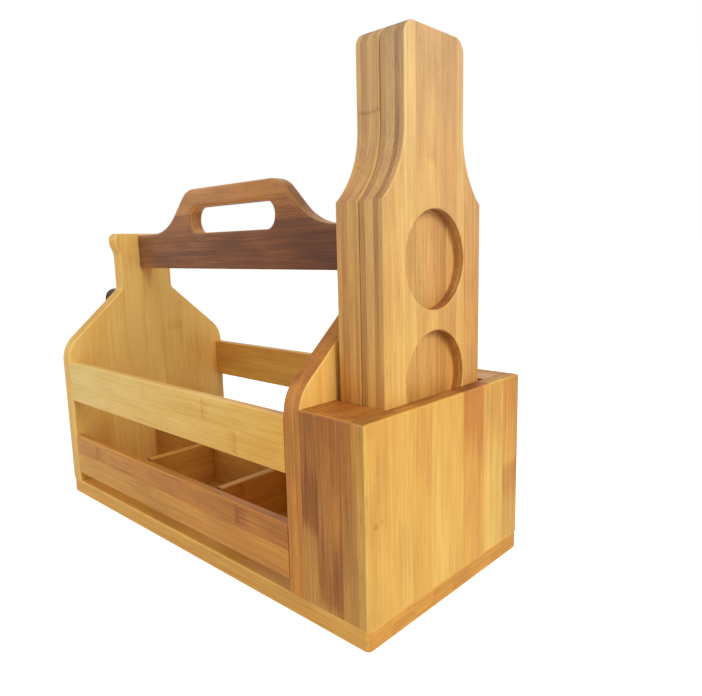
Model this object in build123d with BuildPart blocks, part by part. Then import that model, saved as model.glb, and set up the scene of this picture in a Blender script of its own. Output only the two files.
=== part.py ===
from build123d import *
import math
import os

# A six-bottle caddy of laminated bamboo with a holder for two tasting paddles.
# Millimetres. The origin is the middle of the base board's underside, +Z is up, the holder is at +X
# and the long side that faces -Y is the front.

# Bottle space
bottle_cell_length = 83.2
bottle_cell_width = 64.5
cells_along = 3
divider_thickness = 6.0
divider_height = 33.5
divider_end_gap = 10.0

# Boards
base_thickness = 11.5
base_corner_radius = 3.0
panel_thickness = 12.5
slat_thickness = 6.5
slat_height = 32.0
gap_under_lower_slat = 7.3
gap_between_slats = 29.0
eased_edge = 1.0

# End panels, heights measured from the base board's top
shoulder_corner_height = 111.9
shoulder_slope_angle = 41.2
shoulder_radius = 24.0
neck_width = 46.6
neck_foot_radius = 6.0
head_width = 53.2
head_flare = 7.5
head_straight = 9.0
head_flare_radius = 12.0
head_corner_radius = 5.0
panel_height = 203.0

# Handle board
handle_thickness = 12.0
handle_end_height = 28.5
handle_drop_below_head = 1.0
hump_top_length = 108.0
hump_rise = 32.0
hump_slope_angle = 45.0
hump_foot_radius = 48.0
hump_top_radius = 20.0
hand_hole_length = 100.0
hand_hole_height = 19.3
grip_depth = 14.0
handle_rounding = 2.5

# Paddles
paddle_thickness = 16.0
paddle_width = 88.0
paddle_neck_width = 52.4
paddle_body_length = 210.0
paddle_neck_length = 47.8
paddle_flank_radius = 50.0
paddle_head_radius = 8.0
paddle_foot_radius = 4.0
paddle_rounding = 1.2
glass_recess_radius = 27.0
glass_recess_depth = 7.0
glass_recess_pitch = 65.2
glass_recess_drop = 3.5
glass_recess_chamfer = 0.5
recess_count = 3

# Holder box outside the right end panel
holder_height = 105.5
holder_face_thickness = 9.5
holder_side_thickness = 10.0
holder_top_thickness = 10.0
holder_back_strip = 2.9
slot_side_play = 6.0
slot_clearance = 0.3
holder_rounding = 1.5

# Pegs
thin_dowel_diameter = 4.0
thin_dowel_length = 20.0
thick_dowel_diameter = 6.0
thick_dowel_length = 26.0
dowel_depth_in_board = 6.5
dowel_clearance = 0.1
dowel_chamfer = 0.4
slat_dowel_pitch = 18.0
handle_dowel_pitch = 14.0
holder_dowel_pitch = 50.0

# Screws from below
screw_diameter = 3.5
screw_length = 30.0
screw_head_diameter = 6.6
screw_tip_length = 4.0
screw_clearance = 0.1
screw_recess_length = 3.6
screw_recess_width = 0.9
screw_recess_depth = 1.0
screw_sink = 0.3
panel_screw_pitch = 50.0
face_screw_pitch = 90.0

# Bottle opener on the outside of the left end panel
opener_height = 137.5
opener_plate_radius = 28.0
opener_plate_thickness = 6.0
opener_plate_rounding = 2.0
opener_ear_radius = 8.0
opener_ear_rise = 32.0
opener_tail_radius = 12.0
opener_tail_drop = 39.0
opener_hood_width = 46.0
opener_hood_rise = 18.0
opener_hood_skirt = 10.0
opener_hood_corner_radius = 8.5
opener_hood_wall = 5.5
opener_hood_reach = 17.0
opener_hood_rounding = 1.5
opener_lip_thickness = 4.0
opener_lip_reach = 5.0
opener_tooth_width = 16.0
opener_tooth_height = 6.0
opener_tooth_reach = 7.0
opener_tooth_drop = 18.0
opener_tooth_chamfer = 2.0
opener_screw_length = 14.0

# One overrun serves every cut that passes through a board
cut_overrun = 1.0

# Derived sizes
inner_length = cells_along * bottle_cell_length + (cells_along - 1) * divider_thickness
inner_width = 2 * bottle_cell_width + divider_thickness
overall_width = inner_width + 2 * slat_thickness
slot_width = paddle_width + slot_side_play
slot_depth = 2 * paddle_thickness + 3 * slot_clearance
holder_depth = holder_back_strip + slot_depth + holder_face_thickness
overall_length = inner_length + 2 * panel_thickness + holder_depth
half_width = overall_width / 2

base_top = base_thickness
left_outer_x = -overall_length / 2
left_inner_x = left_outer_x + panel_thickness
right_inner_x = left_inner_x + inner_length
right_outer_x = right_inner_x + panel_thickness
holder_end_x = overall_length / 2
face_inner_x = holder_end_x - holder_face_thickness
cell_middle_x = (left_inner_x + right_inner_x) / 2

lower_slat_bottom = base_top + gap_under_lower_slat
upper_slat_bottom = lower_slat_bottom + slat_height + gap_between_slats
slat_middle_y = half_width - slat_thickness / 2
slat_middles_z = [bottom + slat_height / 2 for bottom in (lower_slat_bottom, upper_slat_bottom)]

panel_top = base_top + panel_height
handle_end_top = panel_top - handle_drop_below_head
handle_bottom = handle_end_top - handle_end_height
handle_middle_z = handle_bottom + handle_end_height / 2
holder_top = base_top + holder_height
holder_middle_z = base_top + holder_height / 2
holder_side_middle_y = half_width - holder_side_thickness / 2


# Pegs and screws


def peg_row(middle, pitch):
    """Two places, one pitch apart, about a middle."""
    return [middle - pitch / 2, middle + pitch / 2]


def blind_holes(places, radius, depth, turn):
    """Round blind holes into a face at the places, where turn is the way that the face looks."""
    with Locations(*[Location(place, turn) for place in places]):
        Hole(radius, depth=depth)


def peg(diameter, length):
    """One wooden peg along X, its middle at the origin, with chamfered ends."""
    with BuildPart() as one_peg:
        with BuildSketch(Plane.YZ.offset(-length / 2)):
            Circle(diameter / 2)
        extrude(amount=length)
        chamfer(one_peg.edges().filter_by(GeomType.CIRCLE), dowel_chamfer)
    return one_peg.part


def countersunk_screw(length):
    """One wood screw that points up, with the flat of its head at z = 0 and a cross recess in it."""
    head = screw_head_diameter / 2
    shank = screw_diameter / 2
    with BuildPart() as one_screw:
        with BuildSketch(Plane.XZ):
            with BuildLine():
                Polyline(
                    (0, 0),
                    (head, 0),
                    (shank, head - shank),
                    (shank, length - screw_tip_length),
                    (0, length),
                    close=True,
                )
            make_face()
        revolve(axis=Axis.Z)
        with BuildSketch():
            Rectangle(screw_recess_length, screw_recess_width)
            Rectangle(screw_recess_width, screw_recess_length)
        extrude(amount=screw_recess_depth, mode=Mode.SUBTRACT)
    return one_screw.part


# Turns that bring an upward axis to face along each direction
facing_plus_x = (0, 90, 0)
facing_minus_x = (0, -90, 0)
facing_down = (180, 0, 0)

thin_peg_radius = thin_dowel_diameter / 2 + dowel_clearance
thick_peg_radius = thick_dowel_diameter / 2 + dowel_clearance
thin_peg_depth_in_slat = thin_dowel_length - dowel_depth_in_board + dowel_clearance
thick_peg_depth_in_end = thick_dowel_length - dowel_depth_in_board + dowel_clearance
peg_depth_in_board = dowel_depth_in_board + dowel_clearance

slat_peg_yz = [
    (side * slat_middle_y, height)
    for side in (-1, 1)
    for middle in slat_middles_z
    for height in peg_row(middle, slat_dowel_pitch)
]
handle_peg_yz = [(0, height) for height in peg_row(handle_middle_z, handle_dowel_pitch)]
holder_peg_yz = [
    (side * holder_side_middle_y, height)
    for side in (-1, 1)
    for height in peg_row(holder_middle_z, holder_dowel_pitch)
]

panel_middles_x = [left_outer_x + panel_thickness / 2, right_inner_x + panel_thickness / 2]
face_middle_x = holder_end_x - holder_face_thickness / 2
side_middle_x = (right_outer_x + face_inner_x) / 2
panel_screw_ys = [-panel_screw_pitch, 0, panel_screw_pitch]
face_screw_ys = peg_row(0, face_screw_pitch)
side_screw_ys = [-holder_side_middle_y, holder_side_middle_y]
pilot_depth = screw_length + screw_sink - base_thickness + screw_clearance
pilot_radius = screw_diameter / 2 + screw_clearance
sink_radius = screw_head_diameter / 2 + screw_clearance + screw_sink
sink_angle = 90


# Base board


with BuildPart() as base_board:
    with BuildSketch() as base_outline:
        Rectangle(overall_length, overall_width)
        fillet(base_outline.vertices(), base_corner_radius)
    extrude(amount=base_thickness)
    rims = base_board.edges().group_by(Axis.Z)
    fillet(rims[0] + rims[-1], eased_edge)
    screw_places = (
        [(x, y, 0) for x in panel_middles_x for y in panel_screw_ys]
        + [(face_middle_x, y, 0) for y in face_screw_ys]
        + [(side_middle_x, y, 0) for y in side_screw_ys]
    )
    with Locations(*[Location(place, facing_down) for place in screw_places]):
        CounterSinkHole(
            pilot_radius,
            sink_radius,
            depth=base_thickness,
            counter_sink_angle=sink_angle,
        )


# End panels


opener_z = base_top + opener_height
opener_screw_zs = [opener_z - opener_tail_drop, opener_z + opener_ear_rise]
opener_pilot_depth = opener_screw_length + screw_sink - opener_plate_thickness + screw_clearance


def end_panel(outer_x, inner_x, screw_zs=()):
    """A board with sloped shoulders, a narrow neck and a rounded head, between two planes along X."""
    neck = neck_width / 2
    head = head_width / 2
    shoulder_z = base_top + shoulder_corner_height
    neck_foot_z = shoulder_z + (half_width - neck) * math.tan(math.radians(shoulder_slope_angle))
    head_side_z = panel_top - head_straight
    right_side = [
        (half_width, base_top),
        (half_width, shoulder_z),
        (neck, neck_foot_z),
        (neck, head_side_z - head_flare),
        (head, head_side_z),
        (head, panel_top),
    ]
    left_side = [(-y, z) for y, z in reversed(right_side)]
    radii = [0, shoulder_radius, neck_foot_radius, head_flare_radius, head_flare_radius, head_corner_radius]
    low_x = min(outer_x, inner_x)
    into_inner_face = facing_minus_x if inner_x < outer_x else facing_plus_x
    with BuildPart() as panel:
        with BuildSketch(Plane.YZ.offset(low_x)):
            with BuildLine():
                FilletPolyline(right_side + left_side, radius=radii + radii[::-1], close=True)
            make_face()
        extrude(amount=panel_thickness)
        face_rims = panel.edges().group_by(Axis.X)
        fillet(face_rims[0].sort_by(Axis.Z)[1:] + face_rims[-1].sort_by(Axis.Z)[1:], eased_edge)
        slat_places = [(inner_x, y, z) for y, z in slat_peg_yz]
        handle_places = [(inner_x, y, z) for y, z in handle_peg_yz]
        blind_holes(slat_places, thin_peg_radius, peg_depth_in_board, into_inner_face)
        blind_holes(handle_places, thick_peg_radius, peg_depth_in_board, into_inner_face)
        screw_row = [(low_x + panel_thickness / 2, y, base_top) for y in panel_screw_ys]
        blind_holes(screw_row, pilot_radius, pilot_depth, facing_down)
        if screw_zs:
            opener_places = [(outer_x, 0, z) for z in screw_zs]
            blind_holes(opener_places, pilot_radius, opener_pilot_depth, facing_minus_x)
    return panel


end_panel_left = end_panel(left_outer_x, left_inner_x, opener_screw_zs)
end_panel_right = end_panel(right_outer_x, right_inner_x)


# Slats


def slat(bottom_z, side):
    """One slat between the end panels, its outer face flush with their edges, with peg holes in its ends."""
    middle_z = bottom_z + slat_height / 2
    middle_y = side * slat_middle_y
    with BuildPart() as one_slat:
        with BuildSketch(Plane.YZ.offset(left_inner_x)):
            with Locations((middle_y, middle_z)):
                Rectangle(slat_thickness, slat_height)
        extrude(amount=inner_length)
        fillet(one_slat.edges().filter_by(Axis.X), eased_edge)
        heights = peg_row(middle_z, slat_dowel_pitch)
        left_places = [(left_inner_x, middle_y, z) for z in heights]
        right_places = [(right_inner_x, middle_y, z) for z in heights]
        blind_holes(left_places, thin_peg_radius, thin_peg_depth_in_slat, facing_minus_x)
        blind_holes(right_places, thin_peg_radius, thin_peg_depth_in_slat, facing_plus_x)
    return one_slat


lower_slat_front = slat(lower_slat_bottom, -1)
upper_slat_front = slat(upper_slat_bottom, -1)
lower_slat_back = slat(lower_slat_bottom, 1)
upper_slat_back = slat(upper_slat_bottom, 1)


# Handle board


hump_top = handle_end_top + hump_rise
hump_foot_x = hump_top_length / 2 + hump_rise / math.tan(math.radians(hump_slope_angle))
hand_hole_middle_z = hump_top - grip_depth - hand_hole_height / 2
handle_plane = Plane.XZ.move(Location((cell_middle_x, 0, 0)))

with BuildPart() as handle_board:
    handle_right = [
        (inner_length / 2, handle_bottom),
        (inner_length / 2, handle_end_top),
        (hump_foot_x, handle_end_top),
        (hump_top_length / 2, hump_top),
    ]
    handle_left = [(-x, z) for x, z in reversed(handle_right)]
    handle_radii = [0, 0, hump_foot_radius, hump_top_radius]
    with BuildSketch(handle_plane):
        with BuildLine():
            FilletPolyline(
                handle_right + handle_left,
                radius=handle_radii + handle_radii[::-1],
                close=True,
            )
        make_face()
        with Locations((0, hand_hole_middle_z)):
            SlotOverall(hand_hole_length, hand_hole_height, mode=Mode.SUBTRACT)
    extrude(amount=handle_thickness / 2, both=True)
    handle_rims = handle_board.edges().group_by(Axis.Y)
    front_rim = handle_rims[0].sort_by(Axis.Z)
    back_rim = handle_rims[-1].sort_by(Axis.Z)
    soft_front = front_rim.filter_by(lambda edge: edge.center().Z > handle_end_top - eased_edge)
    soft_back = back_rim.filter_by(lambda edge: edge.center().Z > handle_end_top - eased_edge)
    fillet(soft_front + soft_back, handle_rounding)
    fillet(handle_board.edges().filter_by(Axis.X).group_by(Axis.Z)[0], eased_edge)
    left_places = [(left_inner_x, y, z) for y, z in handle_peg_yz]
    right_places = [(right_inner_x, y, z) for y, z in handle_peg_yz]
    blind_holes(left_places, thick_peg_radius, thick_peg_depth_in_end, facing_minus_x)
    blind_holes(right_places, thick_peg_radius, thick_peg_depth_in_end, facing_plus_x)


# Low divider grid, halved where the boards cross


lap_clearance = slot_clearance / 2
lap_height = divider_height / 2
divider_middle_z = base_top + divider_height / 2
cross_xs = [
    left_inner_x + n * (bottle_cell_length + divider_thickness) - divider_thickness / 2
    for n in range(1, cells_along)
]

with BuildPart() as long_divider:
    with Locations((cell_middle_x, 0, divider_middle_z)):
        Box(inner_length, divider_thickness, divider_height)
    fillet(long_divider.edges().filter_by(Axis.X).group_by(Axis.Z)[-1], eased_edge)
    with Locations(*[(x, 0, base_top + lap_height) for x in cross_xs]):
        Box(
            divider_thickness + 2 * lap_clearance,
            divider_thickness + cut_overrun,
            lap_height + cut_overrun,
            align=(Align.CENTER, Align.CENTER, Align.MIN),
            mode=Mode.SUBTRACT,
        )


def cross_divider(x):
    """One divider across the tray, short of the slats, notched from below to sit over the long one."""
    with BuildPart() as divider:
        with Locations((x, 0, divider_middle_z)):
            Box(divider_thickness, inner_width - 2 * divider_end_gap, divider_height)
        fillet(divider.edges().filter_by(Axis.Y).group_by(Axis.Z)[-1], eased_edge)
        with Locations((x, 0, base_top + lap_height)):
            Box(
                divider_thickness + cut_overrun,
                divider_thickness + 2 * lap_clearance,
                lap_height + cut_overrun,
                align=(Align.CENTER, Align.CENTER, Align.MAX),
                mode=Mode.SUBTRACT,
            )
    return divider


cross_divider_left = cross_divider(cross_xs[0])
cross_divider_right = cross_divider(cross_xs[-1])


# Holder box


with BuildPart() as holder_face_board:
    with BuildSketch(Plane.XY.offset(base_top)):
        with Locations((face_middle_x, 0)):
            Rectangle(holder_face_thickness, overall_width)
    extrude(amount=holder_height)
    outer_rim = holder_face_board.edges().group_by(Axis.X)[-1].sort_by(Axis.Z)[1:]
    top_ends = holder_face_board.edges().filter_by(Axis.X).group_by(Axis.Z)[-1]
    fillet(outer_rim + top_ends, holder_rounding)
    face_peg_places = [(face_inner_x, y, z) for y, z in holder_peg_yz]
    blind_holes(face_peg_places, thick_peg_radius, peg_depth_in_board, facing_minus_x)
    face_screw_places = [(face_middle_x, y, base_top) for y in face_screw_ys]
    blind_holes(face_screw_places, pilot_radius, pilot_depth, facing_down)


def holder_side(side):
    """A side board of the holder, from the end panel to the face board."""
    middle_y = side * holder_side_middle_y
    with BuildPart() as board:
        with BuildSketch(Plane.XY.offset(base_top)):
            with Locations((side_middle_x, middle_y)):
                Rectangle(face_inner_x - right_outer_x, holder_side_thickness)
        extrude(amount=holder_height)
        top_edges = board.edges().filter_by(Axis.X).group_by(Axis.Z)[-1].sort_by(Axis.Y)
        fillet(top_edges[0] if side < 0 else top_edges[-1], holder_rounding)
        peg_places = [(face_inner_x, middle_y, z) for z in peg_row(holder_middle_z, holder_dowel_pitch)]
        blind_holes(peg_places, thick_peg_radius, thick_peg_depth_in_end, facing_plus_x)
        blind_holes([(side_middle_x, middle_y, base_top)], pilot_radius, pilot_depth, facing_down)
    return board


holder_side_front = holder_side(-1)
holder_side_back = holder_side(1)

with BuildPart() as holder_top_plate:
    with BuildSketch(Plane.XY.offset(holder_top - holder_top_thickness)):
        with Locations((side_middle_x, 0)):
            Rectangle(face_inner_x - right_outer_x, overall_width - 2 * holder_side_thickness)
        with Locations((face_inner_x, 0)):
            Rectangle(slot_depth, slot_width, align=(Align.MAX, Align.CENTER), mode=Mode.SUBTRACT)
    extrude(amount=holder_top_thickness)


# Tasting paddles


paddle_middle_y = slot_clearance - slot_side_play / 2
shoulder_z = base_top + paddle_body_length
flank_run = (paddle_width - paddle_neck_width) / 2
flank_angle = math.degrees(math.acos(1 - flank_run / paddle_flank_radius))
throat_z = shoulder_z + paddle_flank_radius * math.sin(math.radians(flank_angle))
paddle_top = throat_z + paddle_neck_length
top_recess_z = shoulder_z - glass_recess_drop - glass_recess_radius
recess_zs = [top_recess_z - n * glass_recess_pitch for n in range(recess_count)]


def upright_plane(x):
    """A plane that faces +X on the paddles' middle line, with its own Y axis up."""
    return Plane((x, paddle_middle_y, 0), x_dir=(0, 1, 0), z_dir=(1, 0, 0))


def paddle(back_x):
    """A bottle-shaped paddle that stands on the base board, its recesses facing +X."""
    body = paddle_width / 2
    neck = paddle_neck_width / 2
    with BuildPart() as board:
        with BuildSketch(upright_plane(back_x)) as outline:
            with BuildLine():
                foot = Line((0, base_top), (body, base_top))
                side = Line(foot @ 1, (body, shoulder_z))
                throat = (neck, throat_z)
                flank = JernArc(throat, (0, -1), paddle_flank_radius, flank_angle)
                Line(side @ 1, flank @ 1)
                rise = Line(throat, (neck, paddle_top))
                Line(rise @ 1, (0, paddle_top))
                mirror(about=Plane.YZ)
            make_face()
            rows = outline.vertices().group_by(Axis.Y)
            fillet(rows[-1], paddle_head_radius)
            fillet(rows[0], paddle_foot_radius)
        extrude(amount=paddle_thickness)
        rims = board.edges().group_by(Axis.X)
        fillet(rims[0] + rims[-1], paddle_rounding)
        with BuildSketch(upright_plane(back_x + paddle_thickness)):
            with Locations(*[(0, z) for z in recess_zs]):
                Circle(glass_recess_radius)
        extrude(amount=-glass_recess_depth, mode=Mode.SUBTRACT)
        front_circles = board.edges().group_by(Axis.X)[-1].filter_by(GeomType.CIRCLE)
        recess_rims = front_circles.filter_by(lambda edge: abs(edge.radius - glass_recess_radius) < slot_clearance)
        chamfer(recess_rims, glass_recess_chamfer)
    return board


outer_paddle = paddle(face_inner_x - slot_clearance - paddle_thickness)
inner_paddle = paddle(right_outer_x + holder_back_strip + slot_clearance)


# Pegs, one group for each place


thin_peg = peg(thin_dowel_diameter, thin_dowel_length)
thick_peg = peg(thick_dowel_diameter, thick_dowel_length)
thin_peg_shift = thin_dowel_length / 2 - dowel_depth_in_board
thick_peg_shift = thick_dowel_length / 2 - dowel_depth_in_board

with BuildPart() as slat_dowels:
    slat_peg_xs = [left_inner_x + thin_peg_shift, right_inner_x - thin_peg_shift]
    with Locations(*[(x, y, z) for x in slat_peg_xs for y, z in slat_peg_yz]):
        add(thin_peg)

with BuildPart() as handle_dowels:
    handle_peg_xs = [left_inner_x + thick_peg_shift, right_inner_x - thick_peg_shift]
    with Locations(*[(x, y, z) for x in handle_peg_xs for y, z in handle_peg_yz]):
        add(thick_peg)

with BuildPart() as holder_dowels:
    with Locations(*[(face_inner_x - thick_peg_shift, y, z) for y, z in holder_peg_yz]):
        add(thick_peg)


# Screws from below through the base board


base_screw = countersunk_screw(screw_length)
with BuildPart() as base_screws:
    with Locations(*[(x, y, z + screw_sink) for x, y, z in screw_places]):
        add(base_screw)


# Bottle opener, a cast plate with a hood over the cap, an inward lip and a tooth below


plate_front_x = left_outer_x - opener_plate_thickness
hood_end_x = plate_front_x - opener_hood_reach
tooth_z = opener_z - opener_tooth_drop


def outward_plane(x, z):
    """A plane that faces -X on the panel's middle line, with its own Y axis up."""
    return Plane((x, 0, z), x_dir=(0, -1, 0), z_dir=(-1, 0, 0))


def round_topped(width, rise, corner_radius):
    """An upright shape with two rounded top corners, from the hood's foot up to a rise."""
    with BuildSketch() as shape:
        with Locations((0, -opener_hood_skirt)):
            Rectangle(width, opener_hood_skirt + rise, align=(Align.CENTER, Align.MIN))
        fillet(shape.vertices().group_by(Axis.Y)[-1], corner_radius)
    return shape.sketch


def arch(wall):
    """The hood's outline, opened from below so that a wall is left at the sides and the top."""
    inner_radius = opener_hood_corner_radius - opener_hood_wall
    with BuildSketch() as shape:
        add(round_topped(opener_hood_width, opener_hood_rise, opener_hood_corner_radius))
        add(
            round_topped(opener_hood_width - 2 * wall, opener_hood_rise - wall, inner_radius),
            mode=Mode.SUBTRACT,
        )
    return shape.sketch


hood_arch = arch(opener_hood_wall)
lip_arch = arch(opener_hood_wall + opener_lip_reach)

with BuildPart() as bottle_opener:
    with BuildSketch(outward_plane(left_outer_x, opener_z)):
        Circle(opener_plate_radius)
        with Locations((0, opener_ear_rise)):
            Circle(opener_ear_radius)
        with Locations((0, -opener_tail_drop)):
            Circle(opener_tail_radius)
        make_hull()
    extrude(amount=opener_plate_thickness)
    fillet(bottle_opener.edges().group_by(Axis.X)[0], opener_plate_rounding)
    with BuildSketch(outward_plane(plate_front_x, opener_z)):
        add(hood_arch)
    extrude(amount=opener_hood_reach)
    with BuildSketch(outward_plane(hood_end_x + opener_lip_thickness, opener_z)):
        add(lip_arch)
    extrude(amount=opener_lip_thickness)
    fillet(bottle_opener.edges().group_by(Axis.X)[0], opener_hood_rounding)
    with BuildSketch(outward_plane(plate_front_x, tooth_z)):
        Rectangle(opener_tooth_width, opener_tooth_height)
    extrude(amount=opener_tooth_reach)
    tooth_tip = bottle_opener.faces().filter_by(Axis.X).filter_by(
        lambda face: abs(face.center().X - plate_front_x + opener_tooth_reach) < screw_clearance
    )
    chamfer(tooth_tip.edges().group_by(Axis.Z)[0], opener_tooth_chamfer)
    with Locations(*[Location((plate_front_x, 0, z), facing_minus_x) for z in opener_screw_zs]):
        CounterSinkHole(
            pilot_radius,
            sink_radius,
            depth=opener_plate_thickness,
            counter_sink_angle=sink_angle,
        )

opener_screw = countersunk_screw(opener_screw_length)
with BuildPart() as opener_screws:
    with Locations(*[Location((plate_front_x + screw_sink, 0, z), facing_plus_x) for z in opener_screw_zs]):
        add(opener_screw)


# Labels and files


pieces = {
    "base_board": base_board,
    "end_panel_left": end_panel_left,
    "end_panel_right": end_panel_right,
    "lower_slat_front": lower_slat_front,
    "upper_slat_front": upper_slat_front,
    "lower_slat_back": lower_slat_back,
    "upper_slat_back": upper_slat_back,
    "handle_board": handle_board,
    "long_divider": long_divider,
    "cross_divider_left": cross_divider_left,
    "cross_divider_right": cross_divider_right,
    "holder_face_board": holder_face_board,
    "holder_side_front": holder_side_front,
    "holder_side_back": holder_side_back,
    "holder_top_plate": holder_top_plate,
    "outer_paddle": outer_paddle,
    "inner_paddle": inner_paddle,
    "slat_dowels": slat_dowels,
    "handle_dowels": handle_dowels,
    "holder_dowels": holder_dowels,
    "base_screws": base_screws,
    "bottle_opener": bottle_opener,
    "opener_screws": opener_screws,
}

os.makedirs("parts", exist_ok=True)
for name, piece in pieces.items():
    piece.part.label = name
    export_step(piece.part, f"parts/{name}.step")
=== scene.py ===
# %% [markdown]
# # A bamboo bottle caddy, dressed for a studio picture
#
# The caddy's boards, pegs, screws and bottle opener already exist as a measured model, called the frame.
# This lesson keeps every board where it is and gives it the look of laminated bamboo: strips glued side by
# side, layers glued face to face, fine fibres, brown joints where the cane had its rings, and a thin satin
# lacquer. The opener becomes a real casting, and the screws get threads.
#
# Everything is in metres, the caddy stands on z = 0, and the paddle holder is at +X.

import math
import random

import bmesh
import bpy
from mathutils import Euler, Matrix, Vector
from mathutils.noise import fractal


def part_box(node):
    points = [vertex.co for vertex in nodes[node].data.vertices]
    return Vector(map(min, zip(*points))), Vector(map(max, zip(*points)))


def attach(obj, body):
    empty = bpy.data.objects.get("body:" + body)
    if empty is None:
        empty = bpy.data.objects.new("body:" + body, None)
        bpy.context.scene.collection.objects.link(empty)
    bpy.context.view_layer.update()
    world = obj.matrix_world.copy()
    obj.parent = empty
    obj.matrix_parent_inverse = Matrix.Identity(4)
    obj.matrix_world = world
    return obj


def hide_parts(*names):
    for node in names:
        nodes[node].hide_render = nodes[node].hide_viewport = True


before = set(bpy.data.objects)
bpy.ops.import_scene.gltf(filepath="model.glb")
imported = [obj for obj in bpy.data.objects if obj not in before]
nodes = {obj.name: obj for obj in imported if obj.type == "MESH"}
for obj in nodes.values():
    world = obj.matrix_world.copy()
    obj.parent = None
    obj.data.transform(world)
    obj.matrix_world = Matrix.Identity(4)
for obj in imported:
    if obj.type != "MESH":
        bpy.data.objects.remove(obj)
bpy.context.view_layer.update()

# %% [markdown]
# ## The camera
#
# A picture can only be compared with another one if both are taken from the same place. The lens is given by
# its length on a 36 mm wide sensor. The place and the three angles come from lining up the caddy's straight
# edges with those in the reference picture, so nothing here is guessed by eye.

# %% The camera
MM = 0.001
CAMERA_PLACE = (0.35165, -0.28145, 0.19872)
CAMERA_ANGLES_DEG = (80.7914, 1.3073, 42.7585)
LENS_MM = 31.873
SENSOR_MM = 36.0
NEAREST_MM = 1.0

camera_data = bpy.data.cameras.new("studio_camera")
camera_data.sensor_fit = "HORIZONTAL"
camera_data.sensor_width = SENSOR_MM
camera_data.lens = LENS_MM
camera_data.clip_start = NEAREST_MM * MM
camera = bpy.data.objects.new("studio_camera", camera_data)
camera.location = CAMERA_PLACE
camera.rotation_euler = Euler([math.radians(a) for a in CAMERA_ANGLES_DEG], "XYZ")
bpy.context.scene.collection.objects.link(camera)
bpy.context.scene.camera = camera
print("camera at", CAMERA_PLACE, "with a lens of", LENS_MM, "mm")

# %% [markdown]
# ## Sums made of sockets
#
# A material is a small machine of nodes. Drawing thirty Math nodes by hand is slow and hard to read, so this
# class wraps one output socket and lets Python's own signs build the nodes. With it, `1 - mask * 0.5` is a
# row of nodes, and it reads like the sum that it is. One method, `add`, makes every other kind of node.

# %% Sums made of sockets
class Wire:
    """One output socket in a node tree. Python's operators on it add Math nodes."""

    def __init__(self, tree, socket=None):
        self.tree = tree
        self.socket = socket

    def add(self, kind, settings, sockets, output=0):
        """Adds a node and returns one of its outputs. Its settings are set first, then its sockets get values
        or links."""
        node = self.tree.nodes.new(kind)
        for name, value in settings.items():
            if name == "stops":
                fill_ramp(node.color_ramp, value)
            else:
                setattr(node, name, value)
        for name, value in sockets.items():
            if isinstance(value, Wire):
                self.tree.links.new(value.socket, node.inputs[name])
            else:
                node.inputs[name].default_value = value
        return Wire(self.tree, node.outputs[output])

    def math(self, operation, *others, clamp=False):
        """A Math node with this wire first and the other values after it."""
        settings = {"operation": operation, "use_clamp": clamp}
        return self.add("ShaderNodeMath", settings, dict(enumerate((self, *others))))

    def __add__(self, other):
        return self.math("ADD", other)

    __radd__ = __add__

    def __sub__(self, other):
        return self.math("SUBTRACT", other)

    def __rsub__(self, other):
        return self.add("ShaderNodeMath", {"operation": "SUBTRACT"}, {0: other, 1: self})

    def __mul__(self, other):
        return self.math("MULTIPLY", other)

    def __truediv__(self, other):
        return self.math("DIVIDE", other)

    def __neg__(self):
        return self.math("MULTIPLY", -1.0)

    def other(self, output):
        """Another output of the node that this wire comes from."""
        return Wire(self.tree, self.socket.node.outputs[output])

    def absolute(self):
        """The value without its sign."""
        return self.math("ABSOLUTE")

    def smooth(self, low, high):
        """0 below low, 1 above high, and a soft step between."""
        settings = {"interpolation_type": "SMOOTHSTEP"}
        return self.add("ShaderNodeMapRange", settings, {"Value": self, "From Min": low, "From Max": high})


print("sums of sockets are ready")

# %% Small helpers for materials
def fill_ramp(ramp, stops):
    """Puts (place, colour) stops into a colour ramp. A first entry of text sets how it blends."""
    if isinstance(stops[0], str):
        ramp.interpolation = stops[0]
        stops = stops[1:]
    while len(ramp.elements) < len(stops):
        ramp.elements.new(1.0)
    while len(ramp.elements) > len(stops):
        ramp.elements.remove(ramp.elements[-1])
    for element, (place, colour) in zip(ramp.elements, stops):
        element.position = place
        element.color = (*colour, 1.0)


def vector(wire, x, y, z):
    """Three numbers or wires as one vector wire."""
    return wire.add("ShaderNodeCombineXYZ", {}, {"X": x, "Y": y, "Z": z})


def noise(place, scale, detail, roughness=0.5):
    """Noise at a place, from about 0 to 1."""
    sockets = {"Vector": place, "Scale": scale, "Detail": detail, "Roughness": roughness}
    return place.add("ShaderNodeTexNoise", {"noise_dimensions": "3D"}, sockets)


def tree_of(name):
    """A new material, a wire to start its sums from, and its surface node."""
    material = bpy.data.materials.new(name)
    material.use_nodes = True
    surface = material.node_tree.nodes["Principled BSDF"]
    return material, Wire(material.node_tree), surface


def feed(surface, socket, wire):
    """Links a wire into the surface."""
    wire.tree.links.new(wire.socket, surface.inputs[socket])


def srgb(red, green, blue):
    """A colour picked from 0 to 255 as on a screen, as the linear light that Blender mixes."""
    shares = [v / 255 for v in (red, green, blue)]
    return tuple(s / 12.92 if s <= 0.04045 else ((s + 0.055) / 1.055) ** 2.4 for s in shares)


print("middle grey in linear light is", round(srgb(128, 128, 128)[0], 3))

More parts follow.
